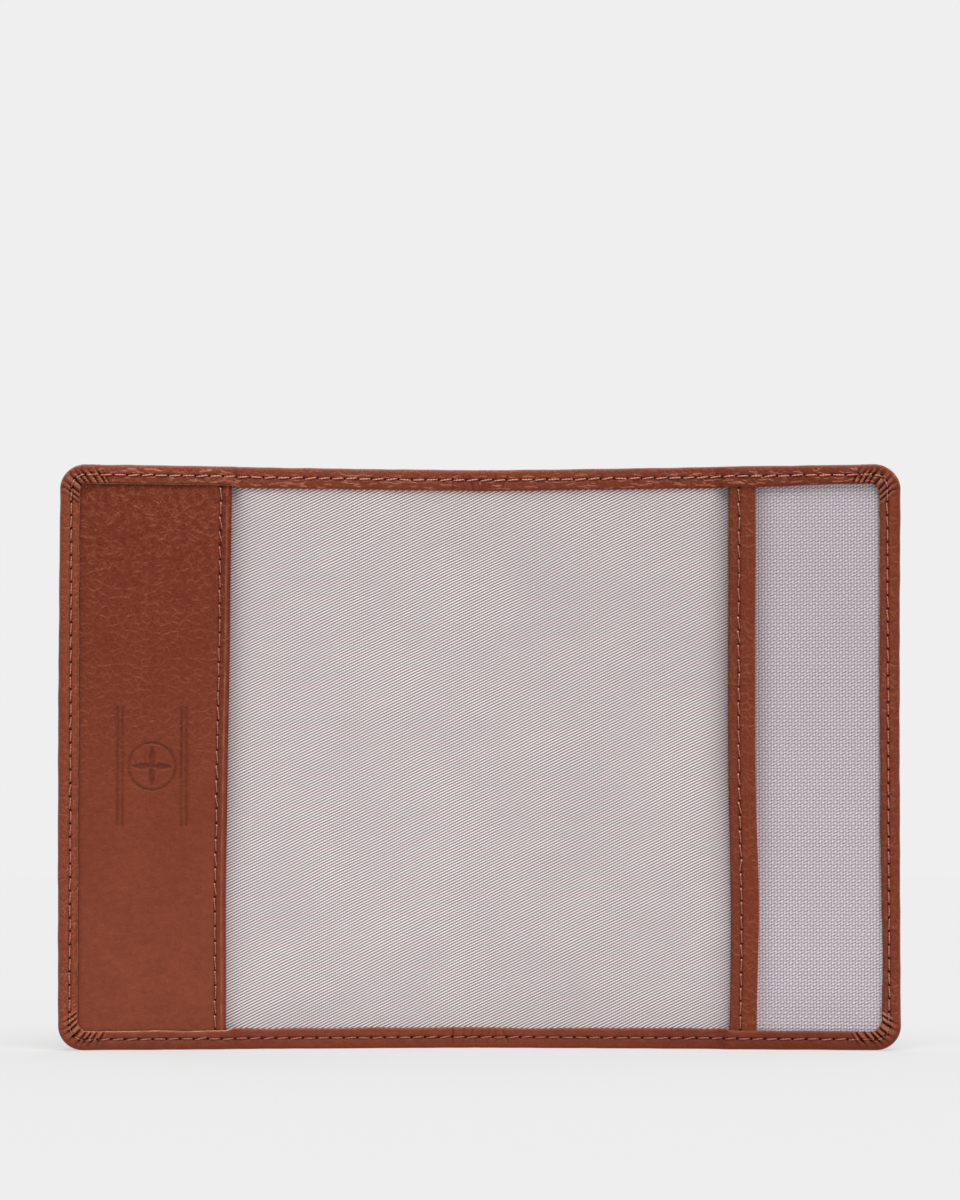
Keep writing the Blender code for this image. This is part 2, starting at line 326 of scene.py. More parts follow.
class Nodes:
    """Short forms for building the node tree of a material, or of the world."""

    def __init__(self, owner, shader="Principled BSDF"):
        owner.use_nodes = True
        self.owner, self.tree = owner, owner.node_tree
        self.shader = self.tree.nodes[shader]

    def node(self, kind, output, inputs, **settings):
        """Adds a node, sets or links its inputs, and gives one of its outputs."""
        made = self.tree.nodes.new("ShaderNode" + kind)
        for key, setting in settings.items():
            setattr(made, key, setting)
        self.feed(made, inputs)
        return Value(self, made.outputs[output])

    def feed(self, node, inputs):
        for key, value in inputs.items():
            if isinstance(value, Value):
                self.tree.links.new(value.socket, node.inputs[key])
            else:
                node.inputs[key].default_value = value

    def math(self, operation, *numbers):
        return self.node("Math", 0, dict(enumerate(numbers)), operation=operation)

    def scaled(self, vector, by):
        return self.node("VectorMath", 0, {0: vector, 1: by}, operation="MULTIPLY")

    def parts(self, vector):
        """The x and y of a vector."""
        x = self.node("SeparateXYZ", "X", {0: vector})
        return x, Value(self, x.socket.node.outputs["Y"])

    def flat(self):
        """The flat layout in millimetres: its vector, x and y."""
        source = self.node("UVMap", 0, {}, uv_map="flat")
        vector = self.node("VectorMath", 0, {0: source, "Scale": 1000.0}, operation="SCALE")
        return (vector, *self.parts(vector))

    def noise(self, vector, per_mm, detail=2.0, roughness=0.5, output=0):
        sizes = {"Scale": per_mm, "Detail": detail, "Roughness": roughness}
        return self.node("TexNoise", output, {"Vector": vector, **sizes})

    def cell_edges(self, vector, scale, width):
        """1 on the edges of a cell pattern, fading to 0 within a width, in cells."""
        inputs = {"Vector": vector, "Scale": scale}
        kind = {"feature": "DISTANCE_TO_EDGE", "voronoi_dimensions": "2D"}
        return self.node("TexVoronoi", "Distance", inputs, **kind).spread(0.0, width, 1.0, 0.0)

    def mix(self, share, a, b, blend="MIX"):
        inputs = {"Factor": share, "A": a, "B": b}
        return self.node("Mix", "Result", inputs, data_type="RGBA", blend_type=blend)

    def bump(self, height, distance_mm, under=None):
        inputs = {"Strength": 1.0, "Distance": distance_mm * MM, "Height": height}
        if under is not None:
            inputs["Normal"] = under
        return self.node("Bump", 0, inputs)

    # The point attribute of painted shade and highlight, with the pale cracks.
    def crease(self):
        return self.node("Attribute", "Fac", {}, attribute_name="crease")

    def cloth_tone(self, shade, dimmed):
        """Cloth darker by a share, and painted in shade where the painted light attribute marks a nook."""
        shade = self.mix(dimmed, shade, (0.0, 0.0, 0.0, 1.0))
        return self.mix(self.crease(), shade, NOOK_SHADE_TINT, "MULTIPLY")

    def finish(self, inputs):
        self.feed(self.shader, inputs)
        return self.owner

    def surface(self, shade, roughness, normal, more=()):
        return self.finish({"Base Color": shade, "Roughness": roughness, "Normal": normal, **dict(more)})


def colour(red, green, blue):
    """An sRGB colour, 0 to 255, as a linear one."""
    channels = [c / 255 for c in (red, green, blue)]
    linear = [c / 12.92 if c <= 0.04045 else ((c + 0.055) / 1.055) ** 2.4 for c in channels]
    return (*linear, 1.0)


# Colours: paler grain and painted highlight, painted highlight and pale cracks, painted shade, painted shade
# in needle holes, and raw cut leather.
PALE_GRAIN_AND_HIGHLIGHT = colour(174, 102, 76)
PAINTED_HIGHLIGHT_AND_CRACK = colour(188, 124, 98)
PAINTED_SHADE = colour(52, 14, 6)
HOLE_SHADE = colour(44, 12, 6)
RAW_LEATHER = colour(206, 142, 110)
# Tints that multiply a colour: a duller tone, painted shade in seam grooves, and painted shade in nooks.
DULL_TINT = (0.78, 0.70, 0.64, 1.0)
GROOVE_SHADE_TINT = (0.60, 0.50, 0.45, 1.0)
NOOK_SHADE_TINT = (0.55, 0.49, 0.50, 1.0)


def grained_leather(name, base, far_base, change, plain=(0.0, 0.1), wrinkled_above=None):
    """Pebbled leather, plain below the first of two heights and full of grain above the second, with
    level wrinkles near the top. The grain's lines and the wrinkles are painted paler, as highlight
    on their edges. change gives the flat axis and the two places between which base turns into
    far_base. In the seam map x counts stitches and y is the distance from the stitching, where 7 to 9
    marks a raw cut edge."""
    n = Nodes(bpy.data.materials.new(name))
    flat, flat_x, flat_y = n.flat()
    warp = {0: n.noise(flat, 0.6, output="Color"), 1: (1.5, 1.2, 0.0), 2: flat}
    warped = n.node("VectorMath", 0, warp, operation="MULTIPLY_ADD")
    pebbles = n.scaled(warped, (0.82, 0.74, 1.0))
    broken, soft = n.noise(flat, 0.55), n.noise(flat, 0.55)
    fine, patches = n.noise(flat, 2.4, 3.0, 0.6), n.noise(flat, 0.10)
    coarse = n.cell_edges(pebbles, 0.66, 0.24) * broken.spread(0.38, 0.56, 0.35, 1.0)
    finer = n.cell_edges(pebbles, 1.45, 0.16) * broken.spread(0.6, 0.4, 0.1, 0.45)
    grained = flat_y.spread(*plain, 0.12, 1.0) * patches.spread(0.35, 0.60, 0.45, 1.0)
    network = n.math("MAXIMUM", coarse, finer) * grained
    normal = n.bump((1.0 - network) * 1.6 + fine * 0.45 + soft * 1.5, 0.12)

    axis, start, end = change
    drift = {"x": flat_x, "y": flat_y}[axis].spread(start, end)
    shade = n.mix(drift, base, far_base)
    dull = (soft * 0.6 + patches * 0.4).spread(0.60, 0.40, 0.0, 0.6)
    shade = n.mix(dull, shade, DULL_TINT, "MULTIPLY")
    # Paler grain lines: painted highlight along the pebbles' edges.
    shade = n.mix(network * 0.16, shade, PALE_GRAIN_AND_HIGHLIGHT)
    if wrinkled_above is not None:
        folds = n.cell_edges(n.scaled(warped, (0.14, 0.62, 1.0)), 5.0, 0.10)
        near_top = flat_y.spread(wrinkled_above, TOP_Z - 8.0)
        # Paler level wrinkles: painted highlight along them.
        shade = n.mix(folds * broken.spread(0.45, 0.58) * near_top * 0.6, shade, PALE_GRAIN_AND_HIGHLIGHT)
    shade = n.mix(fine.spread(0.45, 0.75, 0.0, 0.16), shade, PALE_GRAIN_AND_HIGHLIGHT)

    crease = n.crease()
    # Painted shade where the attribute is above 0, and painted highlight and pale cracks where it is below.
    shade = n.mix((crease * 0.85).clamped(), shade, PAINTED_SHADE)
    shade = n.mix((crease * -0.9).clamped(), shade, PAINTED_HIGHLIGHT_AND_CRACK)

    stitch, across = n.parts(n.node("UVMap", 0, {}, uv_map="seam"))
    along = ((stitch + 0.5).fract() - 0.5) * STITCH
    hole = n.math("SQRT", along**2.0 + across**2.0).spread(0.18, 0.32, 1.0, 0.0)
    groove_shade = abs(across).spread(0.15, 0.60, 0.9, 0.0)
    raw = across.spread(7.0, 9.0)
    # Painted shade in the groove along the stitching and in the needle holes.
    shade = n.mix(groove_shade, shade, GROOVE_SHADE_TINT, "MULTIPLY")
    shade = n.mix(hole * 0.9, shade, HOLE_SHADE)
    shade = n.mix(raw * 0.85, shade, RAW_LEATHER)
    rough = (fine.spread(0.3, 0.7, 0.40, 0.56) + hole * 0.3).clamped()
    rough = (rough + raw * 0.35).clamped()
    return n.surface(shade, rough, n.bump(hole, -0.30, normal), {"Specular IOR Level": 0.13})


def twill_floats(n, flat, x, y):
    """Height of a 2/1 twill: upright threads whose floats step up by a third, thread by thread."""
    wander = (n.noise(flat, 0.05, 1.0) - 0.5) * 0.8
    column = x / TWILL_THREAD
    across = column.fract() - 0.5
    row = (y + wander) / TWILL_FLOAT - column.floor() * (1 / 3)
    along = row.fract() - 0.5 + across * -0.28
    dome = (1.0 - (across * 2.0) ** 2.0).spread(0.0, 1.0, 0.75, 1.0)
    return dome * abs(along).spread(0.14, 0.40, 1.0, 0.0)


def twill(name):
    n = Nodes(bpy.data.materials.new(name))
    flat, x, y = n.flat()
    floats = twill_floats(n, flat, x, y)
    uneven = n.noise(flat, 1.6)
    shade = n.mix(floats, colour(76, 64, 62), colour(253, 243, 241))
    shade = n.mix(uneven.spread(0.35, 0.7, 0.0, 0.14), shade, colour(176, 164, 163))
    shade = n.mix(n.noise(flat, 0.05).spread(0.35, 0.65, 0.0, 0.14), shade, colour(160, 150, 158))
    shade = n.cloth_tone(shade, y.spread(60.0, 130.0, 0.0, 0.06))
    sheen = {"Sheen Weight": 0.15, "Sheen Roughness": 0.4}
    return n.surface(shade, 0.55, n.bump(floats + uneven * 0.3, 0.08), sheen)


def sheer_weave(name):
    """A plain weave, a little sheer: the twill behind it shows through between its threads."""
    n = Nodes(bpy.data.materials.new(name))
    flat, x, y = n.flat()
    drift = (n.noise(flat, 0.5) - 0.5) * 0.4
    column, line = (x + drift) / WEAVE_ACROSS, (y + drift) / WEAVE_ALONG
    across_sq = ((column.fract() - 0.5) * 2.0) ** 2.0
    along_sq = ((line.fract() - 0.5) * 2.0) ** 2.0
    odd = n.math("MODULO", abs(column.floor() + line.floor()), 2.0)
    upright = (1.0 - (across_sq + along_sq * 0.4)).clamped()
    level = (1.0 - (along_sq + across_sq * 0.7)).clamped() * 0.75
    height = upright * odd + level * (1.0 - odd)
    hair = n.noise(flat, 3.0)
    shade = n.mix(height, colour(114, 100, 110), colour(234, 222, 228))
    behind = n.mix(twill_floats(n, flat, x, y), colour(84, 70, 78), colour(250, 240, 244))
    shade = n.mix(0.40, shade, behind)
    shade = n.mix(hair.spread(0.4, 0.75, 0.0, 0.25), shade, colour(180, 168, 176))
    shade = n.cloth_tone(shade, y.spread(30.0, 110.0, 0.01, 0.10))
    return n.surface(shade, 0.7, n.bump(height + hair * 0.3, 0.12), {"Sheen Weight": 0.1})


def spun_thread(name, base, light, shaded_colour):
    """Waxed thread: two plies that turn round each other. Where the painted light attribute asks, it is
    painted in shade.
    """
    n = Nodes(bpy.data.materials.new(name))
    flat, x, y = n.flat()
    ply = n.math("SINE", x * 9.0 + y * 6.283)
    shade = n.mix(ply.spread(-1.0, 1.0), base, light)
    shade = n.mix(n.noise(flat, 4.0).spread(0.4, 0.8, 0.0, 0.4), shade, base)
    shade = n.mix(n.crease(), shade, shaded_colour)
    return n.surface(shade, 0.38, n.bump(ply, 0.02), {"Specular IOR Level": 0.3})


def fibre_board(name):
    n = Nodes(bpy.data.materials.new(name))
    specks = n.noise(n.flat()[0], 2.0, 4.0, 0.7)
    shade = n.mix(specks, colour(160, 140, 115), colour(190, 172, 146))
    return n.surface(shade, 0.9, n.bump(specks, 0.05))


COVER_LEATHER = grained_leather(
    "cover_leather", colour(127, 59, 38), colour(114, 49, 29), ("x", 10.0, 70.0)
)
BINDING_LEATHER = grained_leather(
    "binding_leather", colour(116, 50, 29), colour(112, 47, 26), ("y", 20.0, 110.0)
)
# The pocket's leather is painted paler towards the bottom, as light thrown up from the floor.
POCKET_LEATHER = grained_leather(
    "pocket_leather", colour(125, 60, 40), colour(106, 39, 17), ("y", 20.0, 118.0), (48.0, 92.0), 98.0
)
TWILL = twill("lining_twill")
WEAVE = sheer_weave("pocket_weave")
# The last colour is the thread's painted shade.
THREAD = spun_thread("waxed_thread", colour(170, 105, 80), colour(220, 160, 134), colour(110, 52, 34))
BOARD = fibre_board("fibre_board")


# -------- the leather cover, one half
class Rim:
    """The path round one leaf, from the spine's middle along the bottom, up, and back along the top.
    What it holds are columns, with a row for each station."""

    def __init__(self):
        self.long_steps = STITCHES_LONG * STEPS_PER_STITCH
        self.side_steps = STITCHES_SIDE * STEPS_PER_STITCH
        out = np.linspace(0, ARC_U, self.long_steps + 1)
        up = np.linspace(CORNER_R, ARC_Z, self.side_steps + 1)
        turn = np.linspace(-90, 0, CORNER_STEPS + 1)[1:-1]
        runs = [
            (out, CORNER_R, -90.0),
            (ARC_U, CORNER_R, turn),
            (ARC_U, up, 0.0),
            (ARC_U, ARC_Z, turn + 90),
            (out[::-1], ARC_Z, 90.0),
        ]
        stations = np.concatenate([np.stack(np.broadcast_arrays(*run), axis=1) for run in runs])
        self.u, self.z, facing = np.hsplit(stations, 3)
        self.out_u = np.cos(np.radians(facing))
        self.out_z = np.sin(np.radians(facing))
        self.corner = np.minimum(np.abs(self.out_u), np.abs(self.out_z)) > 1e-6
        self.top, self.bottom = facing > 45, facing < -45

        stitches = [STITCHES_LONG, STITCHES_CORNER, STITCHES_SIDE, STITCHES_CORNER, STITCHES_LONG]
        steps = [self.long_steps, CORNER_STEPS, self.side_steps, CORNER_STEPS, self.long_steps]
        counts = [np.zeros(1)]
        for run_stitches, run_steps in zip(stitches, steps):
            counts.append(counts[-1][-1] + np.arange(1, run_steps + 1) * run_stitches / run_steps)
        self.stitch = np.concatenate(counts)[:, None]
        self.along = self.stitch * STITCH

    def at(self, d):
        """Flat (u, z) at a distance d in from the edge: one number, a column or a grid."""
        return self.u + (CORNER_R - d) * self.out_u, self.z + (CORNER_R - d) * self.out_z

    def sample(self, stitch, column):
        """A column's values at other places along the seam, counted in stitches."""
        return np.interp(stitch, self.stitch[:, 0], column[:, 0])


RIM = Rim()
ONES = np.ones_like(RIM.u)
HEM_SAMPLES = 21
NOSE_SAMPLES = 9
NOSE_SQUARENESS = 0.72  # 1 is round
COARSE = 8  # fine steps along the rim to one step of the middle's grid


def hem_rise(u, start, end):
    """Share of the climb from the bare lining (0) onto the pocket (1), between two distances from
    the pocket's mouth."""
    return ease((u - MOUTH_U - start) / (end - start))


STITCH_U = RIM.at(STITCH_INSET)[0]
HEM_CLIMB = HEM_T_HIGH - 0.1 - HEM_T_LOW
HEM_FACE = HEM_T_LOW + HEM_CLIMB * hem_rise(STITCH_U, -2.8, 0.5)


def hem_width(side):
    """How far the turned-in edge reaches, station by station, with its rounded inner corners."""
    jog = hem_rise(RIM.u - MOUTH_DRIFT * RIM.bottom, -0.9, 0.3)
    long_width = HEM_CENTRE + (HEM_POCKET - HEM_CENTRE) * jog - HEM_BOTTOM_LESS * RIM.bottom
    # The inner corner is an arc. Each station looks outwards until it meets the arc's circle.
    centre = np.hstack([np.full_like(long_width, HEM_SIDE), long_width]) + HEM_CORNER_R - CORNER_R
    past_arcs = np.hstack([RIM.u - ARC_U, np.maximum(CORNER_R - RIM.z, RIM.z - ARC_Z)])
    away = np.maximum(past_arcs, -centre) + centre
    heading = np.abs(np.hstack([RIM.out_u, RIM.out_z]))
    along = (away * heading).sum(axis=1, keepdims=True)
    square = (away**2).sum(axis=1, keepdims=True)
    reach = -along + np.sqrt(along**2 - square + HEM_CORNER_R**2)
    if side == BACK:
        wide_spot = 0.45 * dip(RIM.u - MOUTH_U - 9, 9) * RIM.top
        narrow_spot = 0.3 * dip(RIM.u - 15, 10) * RIM.bottom
        side_spot = 0.5 * dip(RIM.z / TOP_Z - 0.17, 0.09) * np.abs(RIM.out_u) ** 8
        reach += narrow_spot + side_spot - wide_spot
    wavy = waves(11 + side, 14, RIM.along) * 0.10
    ragged = waves(21 + side, 1.2, RIM.along) * 0.05
    return CORNER_R - reach + wavy + ragged


def hem_surface(side, d, width):
    """Depth and painted light of the hem's face over a grid of distances in from the edge."""
    pull = dip(d - STITCH_INSET, 0.36) * (0.14 + 0.14 * at_hole(RIM.stitch, 0.13))
    puff = 0.07 * arch((d - NOSE_WIDTH) / (width - NOSE_WIDTH))
    edge_round = 0.14 * ease((d - width + 0.4) / 0.4) ** 2
    lumps = waves(31 + side, 3.5, RIM.along, d) * 0.06
    depth = HEM_FACE + puff + lumps - pull - edge_round
    pleats, pleat_light = corner_pleats(side, d)
    wrinkles = fold_wrinkles(side, d)
    # Painted light on the hem: the pleats' shade and highlight, painted shade in the wrinkles, and pale
    # cracks.
    crease = pleat_light + 4 * wrinkles - hem_cracks(side, d, width)
    return depth + pleats - wrinkles, crease


def corner_pleats(side, d):
    """Overlapping pleats where the leather is gathered round a corner, fanning out from inside it."""
    u, z = RIM.at(d)
    total, crease = np.zeros_like(d), np.zeros_like(d)
    for number, end in enumerate((-1, 1)):
        draw = np.random.default_rng(100 + 10 * number + side)
        a = u - ARC_U + PLEAT_FOCUS
        c = end * (z - (TOP_Z / 2 + end * (TOP_Z / 2 - CORNER_R))) + PLEAT_FOCUS
        bearing = np.arctan2(c, a) - math.pi / 4
        twist = draw.uniform(-0.2, 0.2) * (np.hypot(a, c) - 24) / 2.5
        jitter = 0.16 * np.sin(bearing * draw.uniform(22, 34) + draw.uniform(0, 6))
        count = bearing / PLEAT_TURN + twist + jitter + draw.uniform(0, 1)
        phase = count % 1
        uneven = draw.uniform(0.75, 1.1, 64)[np.floor(count).astype(int) % 64]
        lap = ease(phase / 0.55) * (1 - ease((phase - 0.84) / 0.16))
        near = ease((PLEATS_ALONG_TOP - bearing) / 0.05) * ease((PLEATS_ALONG_SIDE + bearing) / 0.05)
        near *= (a > 0) * (c > 0) * uneven
        outside, dark = (0.55, 1.15) if end > 0 else (0.25, 0.6)
        inward = outside * ease((d - 0.4) / 0.8) + (1 - outside) * ease((d - 1.7) / 0.7)
        total += near * inward * (0.85 * lap - 0.48)
        # Painted shade in each pleat's valley, and painted highlight on its lap.
        valley = 1 - ease(phase / 0.24) * (1 - ease((phase - 0.84) / 0.12))
        crease += near * inward * (dark * valley - 0.5 * lap)
    return total, crease


def fold_wrinkles(side, d):
    """Short wrinkles across the hem in the spine's bend."""
    u, _ = RIM.at(d)
    total = np.zeros_like(d)
    draw = np.random.default_rng(150 + side)
    for middle in (0.6, 2.1, 3.9, 6.4):
        lean = draw.uniform(-0.5, 0.5) * (d - STITCH_INSET)
        total += dip(u - middle - lean, 0.26) * draw.uniform(0.05, 0.13)
    return total * ease((d - 0.8) / 1.0)


def hem_cracks(side, d, width):
    """Pale cracks that run along the top hem, close to its cut edge."""
    total = np.zeros_like(d)
    for number in range(8):
        wander = waves(160 + 10 * number + side, 4, RIM.along) * 0.35
        middle = width - (0.35 + 0.42 * number) + wander
        strength = ease((waves(300 + 10 * number + side, 5, RIM.along) - 0.18) / 0.25)
        total += dip(d - middle, 0.11) * strength
    return total * (0.95 * RIM.top + 0.15)


def raw_edge_mark(side):
    """How pale the hem's cut edge shows, station by station: from 7, not at all, to 9, raw leather."""
    over_pocket = hem_rise(RIM.u, -1.1, 0.1)
    if side == FRONT:
        # Along the bottom hem the raw edge is painted paler, where its cut faces up into the overhead light:
        # painted light on the raw leather's own colour.
        pale = 0.16 + 0.34 * over_pocket * RIM.bottom + 0.15 * over_pocket
    else:
        pale = 0.10 + 0.40 * ease((RIM.z / TOP_Z - 0.6) / 0.3) * (np.abs(RIM.out_u) > 0.3)
    patchy = waves(210 + side, 5, RIM.along)
    return 7 + 2 * (pale + 0.2 * RIM.corner) * (1 + 0.7 * patchy)


def outer_face():
    """Distances in and depths, from where the corners' arcs are centred out to the nose."""
    near_seam = STITCH_INSET + np.linspace(0.7, -0.7, 7)
    stops = [CORNER_R, 4.8, 3.8, *near_seam, 1.6, NOSE_WIDTH]
    d = ONES * np.array(stops)
    t = dip(d - STITCH_INSET, 0.4) * (0.10 + 0.08 * at_hole(RIM.stitch, 0.13))
    return d, t - 0.02


def nose(side, hem_t):
    """Half round from the outer face to the hem's face, which starts at the depth hem_t."""
    height = RIM.z / TOP_Z
    bulge = 0.30 * arch(height) if side == FRONT else 0.06 + 0.46 * dip(height - 1, 0.25)
    uneven = waves(41 + side, 9, RIM.along) * 0.06 - bulge * RIM.out_u**2
    sweep = np.linspace(-90, 90, NOSE_SAMPLES + 2)[1:-1]
    cosine = np.cos(np.radians(sweep)) ** NOSE_SQUARENESS
    sine = np.sign(sweep) * np.abs(np.sin(np.radians(sweep))) ** NOSE_SQUARENESS
    return NOSE_WIDTH * (1 - cosine) + uneven * cosine, hem_t * (1 + sine) / 2


def nose_highlight(side):
    """How strong the painted highlight on the nose is: most along the top, where it faces the overhead
    light, and none along the bottom.
    """
    patchy = 0.60 * ease((RIM.out_z - 0.05) / 0.5)
    patchy += (0.24 if side == FRONT else 0.10) * ease((RIM.out_z + 0.95) / 0.5)
    patchy *= (1 + 0.5 * waves(190 + side, 6, RIM.along))
    return patchy * arch(np.linspace(0.1, 1, NOSE_SAMPLES)) ** 2


def cut_edge(width, hem_t):
    """The hem's thickness, from its face at the depth hem_t down to its underside."""
    d = width + np.array([0.03, 0.14, 0.22])
    return d, hem_t + (HEM_FACE - HEM_LEATHER - hem_t) * np.array([0.06, 0.35, 0.90])


def inner_face(width):
    """Back underneath the hem, down the wall round the layers, and in along the panel."""
    stops = np.array([3.0, 1.3, 1.0, 1.0, 1.3, CORNER_R])
    under_t = HEM_FACE - HEM_LEATHER
    panel_t = ONES * np.array([PANEL_T + 0.2, PANEL_T, PANEL_T])
    d = np.hstack([width - 0.2, ONES * stops])
    return d, np.hstack([under_t, under_t, under_t, under_t - 0.3, panel_t])


def unrolled(d, t):
    """Distance along each row's section, so that the grain runs on round a fold."""
    step = np.hypot(np.diff(d, axis=1), np.diff(t, axis=1))
    return np.hstack([np.zeros((len(d), 1)), np.cumsum(step, axis=1)])


def cover_leather(side):
    """The outer leather with its border turned over the layers: one sheet, outer face to cut edge."""
    width = hem_width(side)
    hem_d = NOSE_WIDTH + (width - NOSE_WIDTH) * np.linspace(0, 1, HEM_SAMPLES)
    hem_t, hem_light_and_cracks = hem_surface(side, hem_d, width)
    stretches = [
        outer_face(),
        nose(side, hem_t[:, :1]),
        (hem_d, hem_t),
        cut_edge(width, hem_t[:, -1:]),
        inner_face(width),
    ]
    nose_start, hem_start, cut_start, inner_start, _ = np.cumsum([d.shape[1] for d, _ in stretches])
    d, t = (np.hstack(columns) for columns in zip(*stretches))
    u, z = RIM.at(d)

    rolled = unrolled(d, t)
    flat = pair(side * (RIM.u + rolled * RIM.out_u), RIM.z + rolled * RIM.out_z)
    across = np.minimum(d - STITCH_INSET, 4.0)
    across[:, cut_start:inner_start] = raw_edge_mark(side)
    across[:, inner_start:] = 5.0
    seam = pair(RIM.stitch, across)
    crease = np.zeros_like(d)
    # Painted highlight along the rounded nose of the rim.
    crease[:, nose_start:hem_start] = -nose_highlight(side)
    # Painted shade along the bottom hem, and a darker tone along the top hem.
    crease[:, hem_start:cut_start] = hem_light_and_cracks + (0.18 * RIM.bottom + 0.20 * RIM.top)

    b = Build(side)
    numbers = b.add(u, z, t, flat, seam, crease)
    for start in (RIM.long_steps, RIM.long_steps + CORNER_STEPS + RIM.side_steps):
        numbers[start : start + CORNER_STEPS + 1, [0, -1]] = numbers[start, [0, -1]]
    b.quads(numbers)
    outer_end = fill_rectangle(b, numbers[:, 0], t[0, 0])
    inner_end = fill_rectangle(b, numbers[:, -1], PANEL_T, turned=True)
    # One flat face closes the sheet in the middle of the spine, where the two halves meet.
    ring = [*numbers[0], *inner_end[1:-1], *numbers[-1, ::-1], *outer_end[-2:0:-1]]
    b.faces.append([int(n) for n in ring])
    split = ("cover_panel", "turned_edge_top", "turned_edge_bottom")
    whole = ("turned_edge_side", "gathered_corner_top", "gathered_corner_bottom")
    b.make("leather_cover", COVER_LEATHER, "leather", split + whole, split, bends=True)


def fill_rectangle(b, rim_numbers, depth, turned=False):
    """Closes the middle of a leaf with a grid whose edge cells take in the rim's fine points. Gives
    the grid's points in the middle of the spine."""
    columns, rows = RIM.long_steps // COARSE, RIM.side_steps // COARSE
    low = rim_numbers[: RIM.long_steps + 1]
    up = rim_numbers[RIM.long_steps + CORNER_STEPS :][: RIM.side_steps + 1]
    high = rim_numbers[::-1][: RIM.long_steps + 1]

    u, z = np.linspace(0, ARC_U, columns + 1), np.linspace(CORNER_R, ARC_Z, rows + 1)
    u, z = np.meshgrid(u[:-1], z[1:-1], indexing="ij")
    swell = waves(51 + b.side, 38, b.side * u, z)
    fade = ease(np.minimum(z - CORNER_R, ARC_Z - z) / 9) * ease((ARC_U - u) / 9)
    t = depth - (0 if turned else 0.10) * swell * fade

    grid = np.empty((columns + 1, rows + 1), int)
    grid[:-1, 1:-1] = b.add(u, z, t, pair(b.side * u, z), seam=5.0)
    grid[:, 0] = low[::COARSE]
    grid[:, -1] = high[::COARSE]
    grid[-1, :] = up[::COARSE]
    for i in range(columns):
        for j in range(rows):
            along, upwards = (slice(COARSE * k + 1, COARSE * (k + 1)) for k in (i, j))
            cell = [grid[i, j], *(low[along] if j == 0 else ())]
            cell += [grid[i + 1, j], *(up[upwards] if i == columns - 1 else ())]
            cell += [grid[i + 1, j + 1], *(high[along][::-1] if j == rows - 1 else ())]
            cell.append(grid[i, j + 1])
            b.faces.append([int(n) for n in (cell if turned else cell[::-1])])
    return grid[0]


for leaf_side in (FRONT, BACK):
    cover_leather(leaf_side)


# -------- flat layers
def pocket_mouth(z):
    """The leather pocket's mouth: it leans out a little towards the bottom, and bows."""
    share = z / TOP_Z
    bow = 0.2 + 0.15 * arch(share) + 0.45 * dip(share - 0.27, 0.3) + 0.07 * waves(71, 45, z)
    return MOUTH_U + MOUTH_DRIFT * (1 - share) + bow


def binding_mouth(z):
    """The binding's folded edge lies further out near both ends than in the middle."""
    share = z / TOP_Z
    bow = 0.22 * np.sin(math.pi * share * 1.2) + 0.08 * waves(72, 60, z)
    bow += 0.45 * dip(share - 1, 0.22) + 0.62 * dip(share - 0.18, 0.2)
    return BINDING_SPAN[0][0] + (0.2 + bow)


def binding_end(z):
    """The far edge of the binding bows out above the bottom."""
    bow = 0.30 * dip(z / TOP_Z - 0.25, 0.14) + 0.06 * waves(73, 30, z)
    return binding_mouth(z) + BINDING_WIDTH + bow


def nook(distance, z, reach):
    """How shaded a cloth is beside the step up to a pocket, 0 to 1: more so higher up."""
    higher = 0.55 + 0.45 * ease((z / TOP_Z - 0.2) / 0.35)
    return higher * np.minimum(1.1 * np.exp(-((np.maximum(distance, 0) / reach) ** 1.4)), 0.85)


def outline_reach(z, span):
    """The u that a layer reaches at height z, inside the leaf's round corners."""
    (_, _, low), (high_u, _, high) = span
    inset = EDGE_U - high_u
    radius = CORNER_R - inset
    down = np.maximum(np.maximum(low + radius - z, z - (high - radius)), 0)
    return EDGE_U - inset - (radius - np.sqrt(np.maximum(radius**2 - down**2, 0)))


def nowhere(u, z):
    return 0.0


def layer(side, span, steps, start_u=None, rise_at=nowhere, shaded_at=nowhere):
    """A thin closed sheet, ready to make, and its flat size. Its inner (viewer's) face lies at the
    span's deepest t, plus rise_at(u, z), and shaded_at(u, z) gives its painted shade."""
    (low_u, low_t, low_z), (high_u, high_t, high_z) = span
    low_u = low_u if start_u is None else start_u
    z = np.linspace(low_z, high_z, steps[1] + 1)[:, None]
    reach = outline_reach(z, span)
    u = low_u + (reach - low_u) * np.linspace(0, 1, steps[0] + 1)
    t = high_t + rise_at(u, z)
    flat = pair(side * u, z)
    b = Build(side)
    front = b.add(u, z, t, flat, crease=shaded_at(u, z))
    back = b.add(u, z, t - (high_t - low_t), flat)
    b.loft(np.hstack([front, back[:, ::-1]]))
    return b, ((high_u - low_u) * MM, (high_z - low_z) * MM)


def make_lining(side):
    mouth, reach = (pocket_mouth, 2.8) if side == FRONT else (binding_mouth, 3.3)

    def rise_at(u, z):
        """The lining lies a little uneven between the hems."""
        inside = np.minimum(z - LINING_SPAN[0][2], LINING_SPAN[1][2] - z)
        fade = ease((inside - 2) / 10) * ease((MOUTH_U - u) / 8)
        lift = 0.16 * waves(61, 55, side * u, z) + 0.05 * waves(62, 16, side * u, z)
        return fade * (lift + 0.12)

    def shaded_at(u, z):
        # Painted shadow beside the step up to the pocket or binding, and above the bottom hem.
        return nook(mouth(z) - u, z, reach) + 0.12 * np.exp(-(z - HEM_CENTRE) / 6)

    b, flat = layer(side, LINING_SPAN, (96, 90), 0.0, rise_at, shaded_at)
    piece = b.make("lining_cloth", TWILL, "lining", ["lining"], ["lining"], bends=True)


